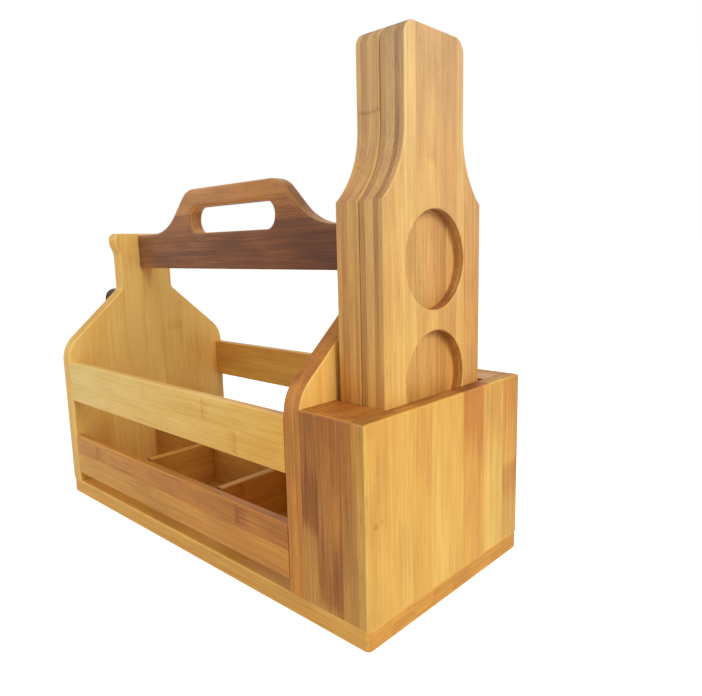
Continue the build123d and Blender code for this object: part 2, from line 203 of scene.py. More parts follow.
# %% [markdown]
# ## What laminated bamboo is
#
# A bamboo cane is a thin-walled tube, so a board is made of flat strips cut from it. They are glued edge to
# edge into a sheet, and sheets are glued face to face. Three things tell the eye that it is bamboo. Each
# strip has its own tone, from cream to caramel, with a hair-thin glue line between. Each strip is full of
# straight, very fine fibres, dark and pale, that run its whole length. And every hand's breadth or so a strip
# has a joint, where the cane had a ring: a brown smear with a thin line in it.
#
# Two numbers describe the colour at any point. The tone goes from 0, dark caramel, to 1, cream. The warmth
# goes from 0, the yellow of young cane, to 1, the orange of steamed cane. Two palettes turn them into a
# colour.

# %% The palettes
YELLOW_CANE = [
    (0.00, srgb(64, 41, 16)),
    (0.20, srgb(115, 78, 32)),
    (0.40, srgb(165, 121, 56)),
    (0.60, srgb(204, 158, 76)),
    (0.80, srgb(232, 190, 96)),
    (1.00, srgb(248, 217, 134)),
]
ORANGE_CANE = [
    (0.00, srgb(70, 34, 11)),
    (0.20, srgb(122, 66, 22)),
    (0.40, srgb(172, 103, 38)),
    (0.60, srgb(212, 140, 55)),
    (0.80, srgb(236, 172, 72)),
    (1.00, srgb(250, 204, 110)),
]


def cane_colour(tone, warmth):
    """The colour at a tone and a warmth."""
    yellow = tone.add("ShaderNodeValToRGB", {"stops": YELLOW_CANE}, {"Fac": tone})
    orange = tone.add("ShaderNodeValToRGB", {"stops": ORANGE_CANE}, {"Fac": tone})
    sockets = {"Factor": warmth.math("ADD", 0.0, clamp=True), "A": yellow, "B": orange}
    return tone.add("ShaderNodeMix", {"data_type": "RGBA"}, sockets, "Result")


print("two palettes of", len(YELLOW_CANE), "tones")

# %% What shifts the tone and the warmth
STREAK_TONE = 0.15  # broad streaks, up and down
HAIR_TONE = 0.17  # fine hairs, up and down
DRIFT_TONE = 0.17  # a slow drift along each strip, up and down
FLECK_TONE = 0.12  # short dark flecks
GLUE_TONE = 0.07  # glue lines
END_TONE = 0.17  # end grain, which is darker
EDGE_HIGHLIGHT_TONE = 0.11  # edges eased with sandpaper, here paler by a painted highlight
DRIFT_WARMTH = 0.35
DARK_IS_WARM = 0.55  # cane darker than the middle tone is more orange
MIDDLE_TONE = 0.68
STAIN_WARMTH = 1.2  # and so is the smear at a joint
print("the tone shifts by up to", round(STREAK_TONE + HAIR_TONE + DRIFT_TONE, 2), "within a strip")

# %% [markdown]
# ## One board's material
#
# A board is told by its three directions: along the fibres, across the strips and through the layers. Two
# ramps with hard steps hold its strips and its layers, each with its own tone and warmth, as a joiner would
# lay them out. The fibres are noise that is squeezed across and drawn out along the board. Where the surface
# faces along the fibres, the same noise is cut across, and shows the dots of end grain by itself. A maker
# eases every edge with sandpaper, and the rounded edges get a painted highlight that makes them paler; the
# way the surface faces tells where they are.
# All places are in millimetres of the object's own coordinates, so the pattern stays put when a piece is
# lifted out.

# %% Strips and layers
AXES = "XYZ"


def step_stops(edges, tones, warmths):
    """Ramp stops with hard steps, from edges in millimetres and a tone and a warmth for each gap between."""
    span = edges[-1] - edges[0]
    places = [(edge - edges[0]) / span for edge in edges[:-1]]
    colours = [(tone, warmth, 0.0) for tone, warmth in zip(tones, warmths)]
    return ["CONSTANT"] + list(zip(places, colours))


def steps(coordinate, edges, tones, warmths):
    """The tone and the warmth of the strip or layer that a coordinate lies in."""
    share = (coordinate - edges[0]) / (edges[-1] - edges[0])
    ramp = coordinate.add("ShaderNodeValToRGB", {"stops": step_stops(edges, tones, warmths)}, {"Fac": share})
    tone = ramp.add("ShaderNodeSeparateXYZ", {}, {0: ramp}, "X")
    return tone, tone.other("Y")


print("a ramp with stops", step_stops([0, 20, 50], [0.7, 0.8], [0.5, 0.4])[1:], "is two strips")

# %% Where a point lies on its board
END_FACING = (0.55, 0.9)
EDGE_HIGHLIGHT_FACING = (0.35, 0.9)


def places_on(start, along, across, through):
    """The millimetres along, across and through a board, how far a point is on end grain and on a rounded
    edge that gets a painted highlight, and how far it faces through the layers."""
    place = start.add("ShaderNodeTexCoord", {}, {}, "Object")
    split = start.add("ShaderNodeSeparateXYZ", {}, {0: place}, "X")
    turned = start.add("ShaderNodeSeparateXYZ", {}, {0: place.other("Normal")}, "X")
    places = [split.other(axis) / MM for axis in (along, across, through)]
    end_grain = turned.other(along).absolute().smooth(*END_FACING)
    facing = turned.other(through).absolute()
    # Paler where the surface turns half away from the layers, on the rounded edges: a painted highlight.
    edge_highlight = (facing * (1 - facing) * 4).smooth(*EDGE_HIGHLIGHT_FACING)
    return *places, end_grain, edge_highlight, facing


print("end grain counts in full from a normal of", END_FACING[1])

# %% Fibres
# Each kind is its grains to the millimetre across and along, how far it sways, its detail and its roughness.
STREAKS = (0.42, 0.011, 1.5, 5.0, 0.65)
HAIRS = (1.7, 0.028, 2.5, 3.0, 0.6)
FLECKS = (1.35, 0.13, 3.0, 2.0, 0.5)
DRIFT = (0.05, 0.018, 0.0, 2.0, 0.5)


def fibres(across, through, along, own, bend, kind):
    """Noise drawn out along a board. A strip's own number moves it to other noise, and the bend sways it."""
    dense, drawn_out, sway, detail, roughness = kind
    place = vector(across, across * dense + bend * sway, through * dense, along * drawn_out + own)
    return noise(place, 1.0, detail, roughness)


print("hairs are", round(HAIRS[0] / HAIRS[1]), "times as long as wide")

# %% Joints
RING_WIDTH = 0.8
SHORT_SIDE = 3.0
RAGGED_SMEAR = 1.5
RAGGED_RING = 6.0
SMEAR_FADE = (0.25, 1.05)
STRIP_FADE = (0.7, 1.0)


def joint_mark(along, across, mark, streaks):
    """A brown smear and a faint ring line, within the edges of its strip. A mark is its place across, its
    place along, its half width, its half length, and the tone that its smear and its line take away. The
    smear ends soon on one side of the ring and fades slowly on the other, the low side where the half length
    is negative. A smear below 0 makes the wood paler."""
    across_at, along_at, half_width, half_length, stain, line = mark
    side = ((across - across_at) / half_width).absolute()
    away = along - along_at
    fade = away / half_length
    ragged = fade.math("MAXIMUM", fade * -SHORT_SIDE) + (streaks - 0.5) * RAGGED_SMEAR
    smear = 1 - ragged.smooth(*SMEAR_FADE)
    bent = away + (streaks - 0.5) * RAGGED_RING
    ring = (-(bent / RING_WIDTH) * (bent / RING_WIDTH)).math("EXPONENT")
    return (1 - side.smooth(*STRIP_FADE)) * (smear * stain + ring * line)


print("a ring line is about", RING_WIDTH * 2, "mm wide")

# %% The bamboo itself
BEND_MM = 0.7
BENDS_PER_MM = 0.012
GLUE_MM = 0.2
GLUE_STEP = (0.0005, 0.002)
FLECK_FADE = (0.59, 0.76)
PLY_SHIFT_MM = 90.0
STRIP_SCATTER = 173  # these four send each strip, layer and board to other noise
LAYER_SCATTER = 311
SEED_SCATTER = 7.7
LAYER_BEND_SCATTER = 30
LACQUER_ROUGHNESS = 0.44
HAIR_GLOSS = 0.25
FLECK_ROUGHNESS = 0.1
END_ROUGHNESS = 0.15
LACQUER_SHINE = 0.3
LACQUER_COAT = 0.08
COAT_ROUGHNESS = 0.3
GRAIN_DEPTH_MM = 0.12
GRAIN_STRENGTH = 0.3
HAIR_HEIGHT = 0.6
STREAK_HEIGHT = 0.4
FLECK_HOLLOW = 0.5
GLUE_HOLLOW = 0.8


def bump_of(surface, height, distance_mm, strength):
    """Feeds a height, in shares of a distance, into the surface's normal."""
    sockets = {"Height": height, "Distance": distance_mm * MM, "Strength": strength}
    feed(surface, "Normal", height.add("ShaderNodeBump", {}, sockets))


def bamboo(name, along, across, through, strips, layers, marks, span, seed, lean=(0.0, 0.0),
           warm_lean=(0.0, 0.0), grey_lean=(0.0, 0.0), end_tone=END_TONE, side_tone=None,
           ply_shift=PLY_SHIFT_MM, cross_ends=False):
    """Laminated bamboo. Directions are letters. Strips and layers are (edges in mm, tones, warmths), and span
    is the board's low and high end along the fibres. Each lean is what is added at those two ends: lean to
    the tone, warm_lean to the warmth and grey_lean to the greyness. end_tone is how much darker end grain is.
    A side_tone is the one tone of all faces square to the broad ones, where only the layers show then.
    ply_shift moves a pale layer's strips beside those of a dark one. A board with cross_ends has a cross ply:
    its end faces show fibres that run along them, and no dots."""
    material, start, surface = tree_of(name)
    run, wide, deep, end_grain, edge_highlight, facing = places_on(start, along, across, through)

    layer_tone, layer_warmth = steps(deep, *layers)
    bend_place = vector(wide, run * BENDS_PER_MM, layer_tone * LAYER_BEND_SCATTER + seed, 0)
    bend = noise(bend_place, 1.0, 1.0) - 0.5
    strip_place = wide + bend * BEND_MM + (layer_tone - 0.5) * ply_shift
    strip_tone, strip_warmth = steps(strip_place, *strips)
    beside, _ = steps(strip_place + GLUE_MM, *strips)
    glue = (beside - strip_tone).absolute().smooth(*GLUE_STEP)
    if side_tone is not None:
        edgewise = facing.math("LESS_THAN", 0.5)
        strip_tone = strip_tone + (side_tone - strip_tone) * edgewise
        glue = glue * (1 - edgewise)
    own = strip_tone * STRIP_SCATTER + layer_tone * LAYER_SCATTER + seed * SEED_SCATTER
    fine, drawn_out = wide, run
    if cross_ends:
        fine = wide + (run - wide) * end_grain
        drawn_out = run + (wide - run) * end_grain

    streaks = fibres(fine, deep, drawn_out, own, bend, STREAKS)
    hairs = fibres(fine, deep, drawn_out, own, bend, HAIRS)
    flecks = fibres(fine, deep, drawn_out, own, bend, FLECKS).smooth(*FLECK_FADE)
    drift = fibres(wide, deep, run, own, bend, DRIFT) - 0.5
    height = ((run - span[0]) / (span[1] - span[0])).math("ADD", 0.0, clamp=True)
    stained = 0.0
    for mark in marks:
        stained = joint_mark(run, wide, mark, streaks) + stained

    tone = strip_tone + layer_tone - 0.5 + lean[0] + height * (lean[1] - lean[0])
    tone = tone - stained
    tone = tone + (streaks - 0.5) * 2 * STREAK_TONE + (hairs - 0.5) * 2 * HAIR_TONE + drift * 2 * DRIFT_TONE
    # The last term paints a highlight on the rounded edges.
    tone = tone - flecks * FLECK_TONE - glue * GLUE_TONE - end_grain * end_tone + edge_highlight * EDGE_HIGHLIGHT_TONE
    warmth = strip_warmth + layer_warmth - 0.5 + warm_lean[0] + height * (warm_lean[1] - warm_lean[0])
    warmth = warmth + drift * 2 * DRIFT_WARMTH + (MIDDLE_TONE - tone) * DARK_IS_WARM + stained * STAIN_WARMTH
    colour = cane_colour(tone, warmth)
    if any(grey_lean):
        kept = 1 - grey_lean[0] - height * (grey_lean[1] - grey_lean[0])
        colour = start.add("ShaderNodeHueSaturation", {}, {"Saturation": kept, "Color": colour})
    feed(surface, "Base Color", colour)
    roughness = LACQUER_ROUGHNESS + (0.5 - hairs) * HAIR_GLOSS + flecks * FLECK_ROUGHNESS
    feed(surface, "Roughness", roughness + end_grain * END_ROUGHNESS)
    surface.inputs["Specular IOR Level"].default_value = LACQUER_SHINE
    surface.inputs["Coat Weight"].default_value = LACQUER_COAT
    surface.inputs["Coat Roughness"].default_value = COAT_ROUGHNESS
    raised = hairs * HAIR_HEIGHT + streaks * STREAK_HEIGHT - flecks * FLECK_HOLLOW - glue * GLUE_HOLLOW
    bump_of(surface, raised, GRAIN_DEPTH_MM, GRAIN_STRENGTH)
    return material


print("bamboo ready")

# %% [markdown]
# ## Laying up a board
#
# Most boards don't need a drawing. Their strips and layers are drawn by lot, from one seeded source of
# chance, so that every run gives the same boards. What is known about a board is passed in, and the rest is
# drawn.

# %% Draw strips by lot
chance = random.Random(11)
EDGE_SHIFT = 0.35
EDGE_WANDER = 0.06


def even_edges(low, high, width):
    """Edges of strips of about one width, which fill the span and differ a little."""
    count = max(1, round((high - low) / width))
    shift = chance.uniform(-EDGE_SHIFT, EDGE_SHIFT)
    places = [n + shift + chance.uniform(-EDGE_WANDER, EDGE_WANDER) for n in range(1, count)]
    return [low] + [low + (high - low) * place / count for place in places] + [high]


def lot(edges, middle, spread):
    """One value around a middle for each gap between the edges."""
    return [middle + chance.uniform(-spread, spread) for _ in edges[1:]]


print("an edge wanders by up to", EDGE_WANDER, "of a strip's width")

# %% Dress one board
WARMTH_SPREAD = 2
LAYER_SPREAD = 0.8
BOARD_SEEDS = 90
JOINT_PLACES = (0.12, 0.88)
JOINT_LENGTHS_MM = (8.0, 16.0)
JOINT_STRENGTH = 0.05
MOST_JOINTS = 8


def in_mm(node):
    """A node's box corners in millimetres."""
    low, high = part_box(node)
    return [v / MM for v in low], [v / MM for v in high]


def dress(node, along, across, through, strips=None, layers=None, marks=(), tone=MIDDLE_TONE, warmth=0.5,
          spread=0.05, strip_width=19.0, layer_width=4.5, marks_per_strip=0.5, **settings):
    """Gives a board its own bamboo. Strips, layers and joints that aren't given are drawn
    by lot."""
    low, high = in_mm(node)
    wide, thick, long = [AXES.index(direction) for direction in (across, through, along)]
    if strips is None:
        edges = even_edges(low[wide], high[wide], strip_width)
        strips = (edges, lot(edges, tone, spread), lot(edges, warmth, spread * WARMTH_SPREAD))
    if layers is None:
        edges = even_edges(low[thick], high[thick], layer_width)
        layers = (edges, lot(edges, 0.5, spread * LAYER_SPREAD), lot(edges, 0.5, spread))
    marks = list(marks)
    for left, right in zip(strips[0], strips[0][1:]):
        if not marks_per_strip or chance.random() > marks_per_strip:
            continue
        middle, half = (left + right) / 2, (right - left) / 2
        place = low[long] + (high[long] - low[long]) * chance.uniform(*JOINT_PLACES)
        length = chance.choice((-1, 1)) * chance.uniform(*JOINT_LENGTHS_MM)
        marks.append((middle, place, half, length, JOINT_STRENGTH, JOINT_STRENGTH))
    marks = marks[:MOST_JOINTS]
    span = (low[long], high[long])
    seed = chance.random() * BOARD_SEEDS
    material = bamboo(f"bamboo_{node}", along, across, through, strips, layers, marks, span, seed, **settings)
    nodes[node].data.materials.clear()
    nodes[node].data.materials.append(material)
    for polygon in nodes[node].data.polygons:
        polygon.material_index = 0
    print(f"{node}: {len(strips[1])} strips, {len(layers[1])} layers, {len(marks)} joints")


# %% The boards laid up by lot
dress(
    "base_board", "X", "Y", "Z", tone=0.72, warmth=0.58, spread=0.012, marks_per_strip=0.3, cross_ends=True,
    end_tone=0.09,
)
dress("end_panel_left", "Z", "Y", "X", tone=0.90, warmth=0.75, spread=0.025, marks_per_strip=0.2)
dress(
    "end_panel_right", "Z", "Y", "X", tone=0.85, warmth=0.65, spread=0.03, marks_per_strip=0.2,
    layers=(
        [108.1, 108.5, 112.4, 116.2, 120.3, 120.7],
        [0.5, 0.18, 0.24, 0.18, 0.5],
        [0.5, 0.85, 0.85, 0.85, 0.5],
    ),
)
# The handle's strips are steps of painted shade, darker towards its foot, and the lean makes the board darker
# towards +X too. Underneath is bamboo of a medium brown.
HANDLE_SHADE_SHARES = (0.0, 0.2, 0.38, 0.52, 0.66, 0.8, 1.0)
HANDLE_SHADED_TONES = [0.26, 0.27, 0.30, 0.39, 0.50, 0.57]
HANDLE_WARMTHS = [0.85] * 6
handle_low, handle_high = in_mm("handle_board")
handle_shade_edges = [handle_low[2] + (handle_high[2] - handle_low[2]) * share for share in HANDLE_SHADE_SHARES]
dress(
    "handle_board", "X", "Z", "Y", strips=(handle_shade_edges, HANDLE_SHADED_TONES, HANDLE_WARMTHS), spread=0.03,
    marks_per_strip=0.3, lean=(0.07, -0.16), grey_lean=(0.12, 0.0), side_tone=0.66,
)
dress("long_divider", "X", "Z", "Y", tone=0.62)
dress("cross_divider_left", "Y", "Z", "X", tone=0.6)
dress("cross_divider_right", "Y", "Z", "X", tone=0.62)
dress("holder_side_back", "Z", "X", "Y", tone=0.55, warmth=0.65, end_tone=-0.04, cross_ends=True)
# The top plate's lean is painted shade of the paddles towards -Y and painted light towards +Y.
dress(
    "holder_top_plate", "Y", "X", "Z", tone=0.57, warmth=0.9, lean=(-0.12, 0.08), grey_lean=(0.0, 0.04),
)
dress("upper_slat_back", "X", "Z", "Y", tone=0.72, warmth=0.4)
dress("lower_slat_back", "X", "Z", "Y", tone=0.64, warmth=0.6)

# %% [markdown]
# ## The boards that the picture shows best
#
# Strips differ in width and tone, and the eye knows a board by them. The boards nearest the camera therefore
# have their strips written out, in millimetres of the object, each with its own tone and warmth. A joint is
# written as place across, place along, half width, half length, smear and line. The same marks also paint
# what isn't a joint: a strip that darkens towards one end, and painted light on the part of a top edge that
# the paddles don't shade.

# %% The holder
dress(
    "holder_face_board", "Z", "Y", "X",
    strips=(
        [-74, -66.8, -53, -38, -21, -5, 9.7, 31.9, 53.9, 74],
        [0.71, 0.73, 0.77, 0.73, 0.78, 0.75, 0.69, 0.77, 0.69],
        [0.45, 0.55, 0.45, 0.60, 0.45, 0.50, 0.70, 0.30, 0.45],
    ),
    layers=([156.4, 159.8, 164.6, 166], [0.36, 0.42, 0.5], [0.5, 0.45, 0.5]),
    marks=[
        (64, 56, 11, -22, 0.12, 0.02),  # a stain near the back corner
        (-67, 64, 1.6, 3, 0.09, 0.05),  # two small specks near the front corner
        (-63, 66, 1.2, 2.5, 0.07, 0.05),
        (20.8, 117, 12.2, -48, 0.13, 0.0),  # a strip that darkens upwards
        (54, 117, 24, -60, 0.10, 0.0),  # and more that do, towards the back
        (57, 117, 22, 2.4, -0.22, 0.0),  # the top edge there, paler: painted light where the paddles cast no shade
    ],
    marks_per_strip=0,
    lean=(0.03, -0.03),
    warm_lean=(-0.1, 0.1),
    # The top edge is darker as end grain, and also by painted shade of the paddles over it.
    end_tone=0.17,
    cross_ends=True,
)
dress(
    "holder_side_front", "Z", "X", "Y",
    strips=([120.6, 131.0, 142.4, 149.1, 156.5], [0.49, 0.47, 0.46, 0.50], [0.55, 0.6, 0.65, 0.6]),
    layers=([-74, -69, -64], [0.5, 0.46], [0.5, 0.5]),
    marks=[(126.5, 62, 7, 36, 0.16, 0.02), (141, 24, 10.5, 44, 0.11, 0.0), (139.5, 19, 8, 22, 0.05, 0.02)],
    marks_per_strip=0,
    lean=(0.09, -0.09),
    warm_lean=(-0.2, 0.25),
    end_tone=-0.06,
    cross_ends=True,
)

# %% The paddles
PADDLE_EDGES = [-46.7, -38, -30.5, -20.5, -12, -2, 6.5, 16.5, 24.5, 41.4]
dress(
    "outer_paddle", "Z", "Y", "X",
    strips=(
        PADDLE_EDGES,
        [0.73, 0.77, 0.80, 0.74, 0.75, 0.70, 0.68, 0.74, 0.66],
        [0.40, 0.40, 0.30, 0.42, 0.42, 0.48, 0.52, 0.38, 0.52],
    ),
    layers=(
        [140.1, 144.3, 149.6, 152.6, 155.7, 156.3],
        [0.33, 0.46, 0.32, 0.40, 0.5],
        [0.5, 0.5, 0.6, 0.4, 0.5],
    ),
    marks=[(-7, 245, 5, 16, 0.07, 0.02)],
    marks_per_strip=0,
    lean=(0.02, -0.11),
    warm_lean=(0.28, -0.12),
    grey_lean=(-0.05, 0.15),
    side_tone=0.74,
    ply_shift=0.0,
)
dress(
    "inner_paddle", "Z", "Y", "X",
    strips=(
        PADDLE_EDGES,
        [0.70, 0.74, 0.72, 0.76, 0.72, 0.76, 0.70, 0.74, 0.72],
        [0.55, 0.50, 0.50, 0.45, 0.50, 0.45, 0.55, 0.50, 0.55],
    ),
    layers=(
        [123.8, 127.6, 132.3, 136.4, 139.4, 140],
        [0.38, 0.31, 0.39, 0.33, 0.5],
        [0.3, 0.5, 0.3, 0.4, 0.5],
    ),
    marks=[(-33, 267, 10, 2, 0.0, 0.14)],
    marks_per_strip=0.3,
    warm_lean=(0.28, -0.08),
    grey_lean=(-0.05, 0.13),
    side_tone=0.74,
    ply_shift=0.0,
)

# %% The slats
dress(
    "upper_slat_front", "X", "Z", "Y",
    strips=([79.7, 96, 111.9], [0.86, 0.88], [0.35, 0.3]),
    layers=([-74, -70.7, -67.4], [0.5, 0.42], [0.5, 0.7]),
    marks=[(104, 33, 7.5, 9, 0.05, 0.09), (88, 64, 7.5, -10, 0.05, 0.10), (103, -40, 6, 8, 0.03, 0.03)],
    marks_per_strip=0,
    lean=(0.10, -0.05),
    warm_lean=(-0.05, 0.5),
    grey_lean=(0.02, -0.02),
)
dress(
    "lower_slat_front", "X", "Z", "Y",
    strips=([18.7, 36, 50.9], [0.62, 0.56], [0.7, 0.85]),
    layers=([-74, -70.7, -67.4], [0.5, 0.46], [0.5, 0.6]),
    marks=[(43, -118, 6, 12, 0.06, 0.07), (43, 63, 6.5, 14, 0.09, 0.09)],
    marks_per_strip=0,
    lean=(0.04, -0.04),
    warm_lean=(-0.15, 0.15),
)

# %% The pegs
WIDER_THAN_A_PEG = 60.0
for peg_group in ("slat_dowels", "handle_dowels", "holder_dowels"):
    dress(
        peg_group, "X", "Y", "Z", marks_per_strip=0,
        strip_width=WIDER_THAN_A_PEG, layer_width=WIDER_THAN_A_PEG,
    )

# %% [markdown]
# ## The bottle opener, a casting
#
# The opener is cast in a plain alloy, plated with copper and browned, and then rubbed so that the copper
# shows on its high edges. The frame's own mesh has crisp edges that a casting never has. A voxel remesh turns
# it into one even skin, and a few passes of smoothing round every edge and fillet every inner corner, as a
# mould does. The skin then gets the faint waves of cast metal. At the end the frame's own opener is hidden,
# and the new piece rides on the caddy's body.
#
# Where a part is rubbed depends on its shape, so the wear is measured on the mesh: at a raised edge the
# neighbours of a point all lie below its tangent plane. That number is kept on each point, as an attribute
# that the material reads.

# %% A merged copy of a frame mesh
MERGE_DISTANCE = 0.01 * MM


def merged_copy(node, name):
    """A frame node's triangles, merged into a closed skin, in a new object."""
    mesh = nodes[node].data.copy()
    mesh.name = name
    mesh.materials.clear()
    skin = bmesh.new()
    skin.from_mesh(mesh)
    bmesh.ops.remove_doubles(skin, verts=skin.verts, dist=MERGE_DISTANCE)
    skin.to_mesh(mesh)
    skin.free()
    piece = bpy.data.objects.new(name, mesh)
    bpy.context.scene.collection.objects.link(piece)
    print(name, "has", len(mesh.vertices), "points after merging")
    return piece


def settle(piece):
    """Turns a piece and its modifiers into a plain mesh."""
    graph = bpy.context.evaluated_depsgraph_get()
    old = piece.data
    piece.data = bpy.data.meshes.new_from_object(piece.evaluated_get(graph))
    piece.data.name = piece.name
    piece.modifiers.clear()
    bpy.data.meshes.remove(old)


opener = merged_copy("bottle_opener", "cast_bottle_opener")

# %% The skin of cast metal
CAST_WAVE = 0.07 * MM
CAST_WAVE_SIZE = 2.2 * MM
CAST_WAVE_FALL = 0.9
CAST_WAVE_STEP = 2.0
CAST_WAVE_OCTAVES = 3
WEAR_PASSES = 3


def cast_surface(mesh):
    """Moves the skin in faint waves, and keeps on each point how far its neighbours fall away."""
    skin = bmesh.new()
    skin.from_mesh(mesh)
    skin.normal_update()
    for point in skin.verts:
        wave = fractal(point.co / CAST_WAVE_SIZE, CAST_WAVE_FALL, CAST_WAVE_STEP, CAST_WAVE_OCTAVES)
        point.co += point.normal * wave * CAST_WAVE
    skin.normal_update()
    skin.verts.index_update()
    near = [[edge.other_vert(point).index for edge in point.link_edges] for point in skin.verts]
    points = list(skin.verts)
    wear = []
    for point, around in zip(points, near):
        away = [(point.co - points[n].co).normalized().dot(point.normal) for n in around]
        wear.append(sum(away) / len(away))
    for _ in range(WEAR_PASSES):
        wear = [(own + sum(wear[n] for n in around)) / (1 + len(around)) for own, around in zip(wear, near)]
    skin.to_mesh(mesh)
    skin.free()
    mesh.attributes.new("wear", "FLOAT", "POINT").data.foreach_set("value", wear)
    return min(wear), max(wear)


print("the skin's waves are up to", round(CAST_WAVE / MM, 2), "mm high")

# %% Cast the opener
CAST_VOXEL = 0.6 * MM
CAST_SMOOTHING = 5
CAST_SMOOTHING_SHARE = 0.5

remesh = opener.modifiers.new("even_skin", "REMESH")
remesh.mode = "VOXEL"
remesh.voxel_size = CAST_VOXEL
smoothing = opener.modifiers.new("mould_rounding", "SMOOTH")
smoothing.factor = CAST_SMOOTHING_SHARE
smoothing.iterations = CAST_SMOOTHING
settle(opener)
wear_span = cast_surface(opener.data)
for polygon in opener.data.polygons:
    polygon.use_smooth = True
print("opener skin of", len(opener.data.polygons), "faces, wear from", [round(v, 2) for v in wear_span])

# %% Antique bronze
BRONZE = [
    (0.0, srgb(66, 43, 27)),
    (0.35, srgb(94, 61, 38)),
    (0.7, srgb(158, 102, 61)),
    (1.0, srgb(208, 143, 90)),
]
BRONZE_CLOUDS = 90.0
BRONZE_GRAIN = 1400.0
CLOUD_RUB = (0.55, 0.75)
MOST_CLOUD_RUB = 0.35
EDGE_RUB = (0.03, 0.12)
MOST_EDGE_RUB = 0.9
EDGE_RUB_WANDER = 0.10
GRAIN_RUB = 0.5
BRONZE_METAL = 0.85
BRONZE_ROUGHNESS = 0.52
RUBBED_GLOSS = 0.2
GRAIN_ROUGHNESS = 0.2
CAST_DEPTH_MM = 0.15
CAST_STRENGTH = 0.5
CAST_GRAIN_HEIGHT = 0.6
CAST_CLOUD_HEIGHT = 0.8


def antique_bronze(name, worn_by_shape):
    """A browned finish with copper rubbed bare on its raised edges, and a fine cast grain."""
    material, start, surface = tree_of(name)
    place = start.add("ShaderNodeTexCoord", {}, {}, "Object")
    clouds = noise(place, BRONZE_CLOUDS, 4.0, 0.6)
    grain = noise(place, BRONZE_GRAIN, 3.0, 0.6)
    rubbed = clouds.smooth(*CLOUD_RUB) * MOST_CLOUD_RUB
    if worn_by_shape:
        raised = start.add("ShaderNodeAttribute", {"attribute_name": "wear"}, {}, "Fac")
        on_edges = (raised + (clouds - 0.5) * EDGE_RUB_WANDER).smooth(*EDGE_RUB)
        rubbed = on_edges * MOST_EDGE_RUB + rubbed / 2
    rubbed = rubbed.math("ADD", (grain - 0.5) * GRAIN_RUB, clamp=True)
    feed(surface, "Base Color", rubbed.add("ShaderNodeValToRGB", {"stops": BRONZE}, {"Fac": rubbed}))
    feed(surface, "Roughness", BRONZE_ROUGHNESS - rubbed * RUBBED_GLOSS + (grain - 0.5) * GRAIN_ROUGHNESS)
    surface.inputs["Metallic"].default_value = BRONZE_METAL
    cast_height = grain * CAST_GRAIN_HEIGHT + clouds * CAST_CLOUD_HEIGHT
    bump_of(surface, cast_height, CAST_DEPTH_MM, CAST_STRENGTH)
    return material


opener.data.materials.append(antique_bronze("antique_bronze", worn_by_shape=True))
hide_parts("bottle_opener")
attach(opener, "caddy")
print("opener cast")

# %% [markdown]
# ## Screws, made once and set by a node tree
#
# Ten wood screws hold the boards to the base from below, and two hold the opener. They are all one shape in
# two lengths: a flat head with a cross recess, a cone, a plain neck, a thread and a point. The screw is drawn
# as rings of points, where the thread is a wave that climbs as it goes round. A Geometry Nodes tree then sets
# a copy on every point of a small mesh, and spins each one by chance about its own axis, because no two
# screws stop at the same angle.

# %% The rings of a screw
HEAD_RADIUS = 3.3
HEAD_RIM = 0.25
SHANK_RADIUS = 1.75
NECK_LENGTH = 5.0
CORE_RADIUS = 1.25
THREAD_PITCH = 1.5
THREAD_SHARPNESS = 1.5
RINGS_PER_TURN = 8
TIP_LENGTH = 4.0


def thread_radius(turn, depth, length):
    """The radius of the threaded part at a turn from 0 to 1 and a depth below the head."""
    wave = 0.5 + 0.5 * math.cos(math.tau * (depth / THREAD_PITCH - turn))
    left = min(1.0, (length - depth) / TIP_LENGTH)
    return (CORE_RADIUS + (SHANK_RADIUS - CORE_RADIUS) * wave ** THREAD_SHARPNESS) * left


def screw_rings(length):
    """For each ring below the head's face, its depth and its radius at a turn."""
    cone_end = HEAD_RIM + HEAD_RADIUS - SHANK_RADIUS
    plain = [(HEAD_RIM, HEAD_RADIUS), (cone_end, SHANK_RADIUS), (NECK_LENGTH, SHANK_RADIUS)]
    rings = [(depth, lambda turn, radius=radius: radius) for depth, radius in plain]
    count = round((length - NECK_LENGTH) / THREAD_PITCH * RINGS_PER_TURN)
    for n in range(1, count):
        depth = NECK_LENGTH + (length - NECK_LENGTH) * n / count
        rings.append((depth, lambda turn, depth=depth: thread_radius(turn, depth, length)))
    return rings


print("a thread of", THREAD_PITCH, "mm to a turn, in", RINGS_PER_TURN, "rings")

# %% Draw one screw
SCREW_SIDES = 32
SLOT_HALF_WIDTH = 0.45
SLOT_HALF_LENGTH = 1.8
SLOT_DEPTH = 1.0
SLOT_FLOOR_SHARE = 0.7


def ring_of(skin, depth, radius_at):
    """One ring of points."""
    ring = []
    for n in range(SCREW_SIDES):
        turn = n / SCREW_SIDES
        x, y = math.cos(math.tau * turn), math.sin(math.tau * turn)
        ring.append(skin.verts.new(Vector((radius_at(turn) * x, radius_at(turn) * y, depth)) * MM))
    return ring


def join_rings(skin, first, second):
    """Faces between two rings of as many points."""
    for n in range(len(first)):
        following = (n + 1) % len(first)
        skin.faces.new((first[n], first[following], second[following], second[n]))


def cross_outline(share, depth):
    """The twelve corners of the cross recess, drawn in by a share."""
    wide, long = SLOT_HALF_WIDTH * share, SLOT_HALF_LENGTH * share
    arm = [(wide, -long), (wide, -wide), (long, -wide)]
    corners = []
    for quarter in range(4):
        c, s = math.cos(math.tau * quarter / 4), math.sin(math.tau * quarter / 4)
        corners += [(x * c - y * s, x * s + y * c, depth) for x, y in arm]
    return corners


